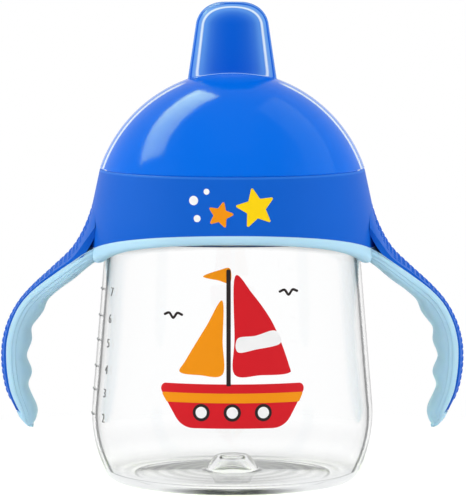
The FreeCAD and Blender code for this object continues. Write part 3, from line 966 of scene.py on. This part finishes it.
def cap_column(angle, inset):
    """Points (r, z) up one side of the cap: the dome, the fillet, and the oval cover."""
    depth, fillet = COVER_DEPTH, COVER_FILLET
    if inset:
        depth, fillet = (COVER_DEPTH * COVER_HALF - inset) / (COVER_HALF - inset), 0.3 * MM

    def cover_reach(z):
        return oval_radius(COVER_LINES[inset > 0](z), depth, angle)

    join_z = 112 * MM
    for _ in range(12):
        join_r = cover_reach(join_z)
        join_z = dome_height(join_r, inset)
    points = []
    foot_r = math.sqrt((DOME_R - inset) ** 2 - (RING_TOP - DOME_CENTRE.y) ** 2) + DOME_CENTRE.x
    out_r = join_r + fillet
    if not inset:
        points.append((foot_r - 0.3 * MM, RING_TOP))
        foot_r -= 0.12 * MM
    for k in range(33):
        r = foot_r + (out_r - foot_r) * k / 32
        points.append((r, dome_height(r, inset)))
    low = dome_height(out_r, inset)
    top = join_z + fillet
    for k in range(1, 7):
        rise = (k / 7) ** 2
        r = cover_reach(join_z + fillet * rise) + fillet * (1 - k / 7) ** 2
        points.append((r, low + (top - low) * rise))
    outline = cover_outline(inset)
    for k in range(1, 13):
        z = top + (outline[1].y - top) * k / 12
        points.append((cover_reach(z), z))
    points += [(oval_radius(p.x, depth, angle), p.y) for p in outline[2:-1]]
    return points + [(0.0, outline[-1].y)]


def cap_outline(angle):
    return cap_column(angle, 0.0)[::-1] + cap_column(angle, CAP_WALL)


cap_blue, start = new_material("translucent_blue_polypropylene")
place = start.node("ShaderNodeTexCoord", output="Object")
facing = start.node("ShaderNodeLayerWeight", {"Blend": 0.5}, output="Facing")
x = place.part("X")
beside_cover = x.math("ABSOLUTE", x).ramped(12.5 * MM, 15.0 * MM)
y = place.part("Y") * (1 / COVER_DEPTH)
on_cover = ((x * x + y * y) ** 0.5).ramped(12.5 * MM, 12.38 * MM)


def ramp(stops):
    """Grey level against how steeply the surface is seen."""
    return start.node("ShaderNodeValToRGB", {"Fac": facing}, stops=[(f, (v, v, v, 1)) for f, v in stops])


def across_cap(dome_stops, cover_stops):
    """One grey level for the dome and another for the cover."""
    return start.node("ShaderNodeMix", {0: on_cover, 2: ramp(dome_stops), 3: ramp(cover_stops)}, output=0)


# painted light: the wall is painted a lighter blue where it is seen on edge, with a painted bright line along its
# inner side
core, painted_edge_light, line = (start.node("ShaderNodeBsdfPrincipled", {
    "Base Color": colour, "Roughness": roughness, "Specular IOR Level": 0.06}) for colour, roughness in (
        (on_cover.mixed(rgb(0, 108, 229), rgb(0, 93, 211)), place.noise(40.0, 2.0) * 0.04 + 0.1),
        (rgb(110, 170, 238), 0.12), (rgb(232, 246, 255), 0.12)))
# painted light: how far the wall is lightened, by how steeply it is seen, in bands on the cover
edge = across_cap(
    [(0.0, 0.0), (0.60, 0.03), (0.76, 0.06), (0.80, 0.4), (0.86, 0.3), (1.0, 0.35)],
    [(0.0, 0.0), (0.02, 0.08), (0.05, 0.25), (0.10, 0.65), (0.33, 0.8), (0.37, 0.05), (0.45, 0.0), (0.53, 0.5),
     (1.0, 0.8)])
# painted highlight: a narrow bright line where the wall is seen almost on edge
rim = across_cap([(0.0, 0.0), (0.75, 0.0), (0.775, 0.9), (0.80, 0.9), (0.825, 0.0)],
                 [(0.0, 0.0), (0.135, 0.0), (0.155, 0.85), (0.185, 0.9), (0.215, 0.1), (0.3, 0.0)])
shown = on_cover + (1.0 - on_cover) * beside_cover
(rim * shown).between((edge * shown).between(core, painted_edge_light), line).as_surface()
cap = solid("cap_shell", *around_axis(cap_outline, 256, False), cap_blue, "cover", "blue_cap", 30)
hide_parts("cap")


# -------------------- spout, seal and valve
# Under the cap: a spout with three drinking holes, injection moulded in pale polypropylene, a silicone washer on
# the rim of the beaker, and a moulded silicone valve whose two plugs are pushed into the sockets of the spout.

def pale_plastic(name, colour, roughness, soft):
    """Moulded plastic or silicone with a fine grain and some light passing through it."""
    made, start = new_material(name)
    place = start.node("ShaderNodeTexCoord", output="Object")
    grain = place.noise(2400.0, 2.0)
    darker = tuple(0.9 * c for c in colour[:3]) + (1.0,)
    tone = (place.noise(80.0, 3.0) * 0.6).mixed(colour, darker)
    bump = grain.bump(0.06, 0.00006)
    start.node("ShaderNodeBsdfPrincipled", {
        "Base Color": tone, "Roughness": grain * 0.1 + roughness, "Subsurface Weight": soft,
        "Subsurface Radius": (1.0, 1.0, 1.0), "Subsurface Scale": 0.002, "Normal": bump}).as_surface()
    return made


def combined(piece, operation, vertices, faces):
    """Joins a closed shape to a piece, or cuts it out of the piece."""
    tool = bpy.data.objects.new("tool", closed_mesh("tool", vertices, faces))
    scene.collection.objects.link(tool)
    boolean = piece.modifiers.new("combine", "BOOLEAN")
    boolean.operation = operation
    boolean.object = tool
    finished = bpy.data.meshes.new_from_object(piece.evaluated_get(bpy.context.evaluated_depsgraph_get()))
    piece.modifiers.clear()
    old = piece.data
    piece.data = finished
    finished.name = piece.name
    bpy.data.meshes.remove(old)
    bpy.data.objects.remove(tool)
    piece.data.shade_smooth()
    piece.data.set_sharp_from_angle(angle=math.radians(35))


def peg(radius, foot, top, x=0.0, y=0.0, edge=0.25, around=64):
    """A round peg with softened ends, in millimetres."""
    outline = blended(((0, foot, 0), (radius, foot, edge), (radius, top, edge), (0, top, 0)), 30)
    vertices, faces = spun(outline, around)
    return [(vx + x * MM, vy + y * MM, vz) for vx, vy, vz in vertices], faces


def slab(outline, foot, top):
    """An upright prism on a closed outline in millimetres."""
    return loft([[(p.x * MM, p.y * MM, z * MM) for p in outline] for z in (foot, top)])


SPOUT_DEPTH = 0.36          # depth of the oval spout over its width
HOLE_R = 0.8                # radius of a drinking hole and of the air vent, in millimetres
VENT_Y = 18.0               # how far behind the axis the air vent is, in millimetres
SOCKET_FOOT = 84.0          # where the sockets end and the plate of the valve begins, in millimetres
SHELL_PART = 13.5 * MM      # inside this radius the domed shell bends up into the spout
shell_outer = blended((
    (31.0, 83.8, 0), (31.0, 85.6, 0.2), (27.2, 85.6, 0.3), (20.5, 101.5, 8), (3.0, 105.2, 0)), 6)
shell_inner = blended(((25.6, 83.8, 0), (18.9, 99.9, 6), (3.0, 103.6, 0)), 6)
spout_outer = blended(((10.5, 97, 0), (7.4, 130.6, 1.6), (0, 130.6, 0)), 9)
spout_inner = blended(((6.9, 97, 0), (5.0, 128.2, 0.8), (0, 128.2, 0)), 9)


def evenly(points, count):
    """The same line with a set number of points, evenly spaced along it."""
    lengths = [0.0]
    for a, b in zip(points, points[1:]):
        lengths.append(lengths[-1] + (b - a).length)
    out = []
    i = 0
    for k in range(count):
        goal = lengths[-1] * k / (count - 1)
        while i < len(points) - 2 and lengths[i + 1] < goal:
            i += 1
        span = lengths[i + 1] - lengths[i]
        out.append(points[i] + (points[i + 1] - points[i]) * ((goal - lengths[i]) / span if span else 0))
    return out


def shell_column(shell, spout, fillet, angle):
    """Points up one side: the domed shell, a fillet, and the oval spout, as many at every angle."""
    oval = [Vector((oval_radius(p.x, SPOUT_DEPTH, angle), p.y)) if p.x else p for p in spout]
    width = line_through(oval)
    height = line_through([Vector((p.y, p.x)) for p in reversed(shell)])
    join = 104 * MM
    for _ in range(12):
        reach = max(width(join), 3.1 * MM)
        join = height(reach)
    foot = Vector((reach + fillet, height(reach + fillet)))
    tip = Vector((width(join + fillet), join + fillet))
    corner = Vector((reach, join))
    bend = [foot * (1 - t) ** 2 + corner * 2 * t * (1 - t) + tip * t ** 2 for t in (k / 6 for k in range(7))]
    far = [p for p in shell if p.x > SHELL_PART]
    near = [p for p in shell if reach + fillet < p.x <= SHELL_PART]
    high = [tip] + [p for p in oval if p.y > join + fillet]
    return far + evenly(far[-1:] + near + bend, 24)[1:] + evenly(high, 26)[1:]


def spout_outline(angle):
    return (shell_column(shell_outer, spout_outer, 1.5 * MM, angle)[::-1]
            + shell_column(shell_inner, spout_inner, 0.3 * MM, angle))


spout_plastic = pale_plastic("pale_blue_polypropylene", rgb(150, 196, 238), 0.22, 0.2)
spout = solid("spout_shell", *around_axis(spout_outline, 160, False), spout_plastic, "lid", "pale_spout", 35)
for x in (-3.4, 0.0, 3.4):
    combined(spout, "DIFFERENCE", *peg(HOLE_R, 127.0, 132.0, x, around=32))
combined(spout, "DIFFERENCE", *peg(HOLE_R, 90.0, 106.0, 0, VENT_Y, around=32))
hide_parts("spout")
for name, bore, port, y, top in (
        ("flow_socket", 6.8, 4.6, 0.0, 101.0), ("vent_socket", 4.2, HOLE_R, VENT_Y, 95.0)):
    roof = top + 2.0
    socket = solid(name, *peg(bore + 1.4, SOCKET_FOOT, roof, 0, y), spout_plastic, "lid", "pale_spout", 35)
    combined(socket, "DIFFERENCE", *peg(bore, SOCKET_FOOT - 1.0, top, 0, y))
    combined(socket, "DIFFERENCE", *peg(port, top - 1.0, roof + 1.0, 0, y))

washer = blended(((27.6, 83.2, 0), (27.6, 82.6, 0.2), (30.0, 82.6, 0.2), (30.0, 83.8, 0.2), (27.6, 83.8, 0.2),
                  (27.6, 83.2, 0)), 30)[:-1]
clear_silicone = pale_plastic("silicone_washer", rgb(222, 230, 236), 0.45, 0.3)
seal = solid("silicone_washer", *spun(washer, closed=True), clear_silicone, "seal", "silicone", 35)
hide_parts("seal_ring")

plate = rounded(((-8.2, -8.2, 3.3), (8.2, -8.2, 3.3), (8.2, 7.4, 3), (5.6, 12.4, 3), (5.6, 23.6, 3.3),
                 (-5.6, 23.6, 3.3), (-5.6, 12.4, 3), (-8.2, 7.4, 3)))
valve_silicone = pale_plastic("silicone_valve", rgb(214, 226, 236), 0.38, 0.3)
valve = solid("silicone_valve", *slab(plate, 82.4, SOCKET_FOOT), valve_silicone, "plug", "valve_silicone", 35)
tab = rounded(((-4.0, 9.0, 0.6), (4.0, 9.0, 0.6), (4.0, 10.8, 0.6), (-4.0, 10.8, 0.6)))
combined(valve, "UNION", *slab(tab, 76.4, 82.9))
for radius, y, top in ((6.5, 0.0, 89.5), (3.9, VENT_Y, 88.5)):
    combined(valve, "UNION", *peg(radius, 83.0, top, 0, y))
    combined(valve, "DIFFERENCE", *peg(radius - 1.1, 80.0, top - 1.1, 0, y))
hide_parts("valve")
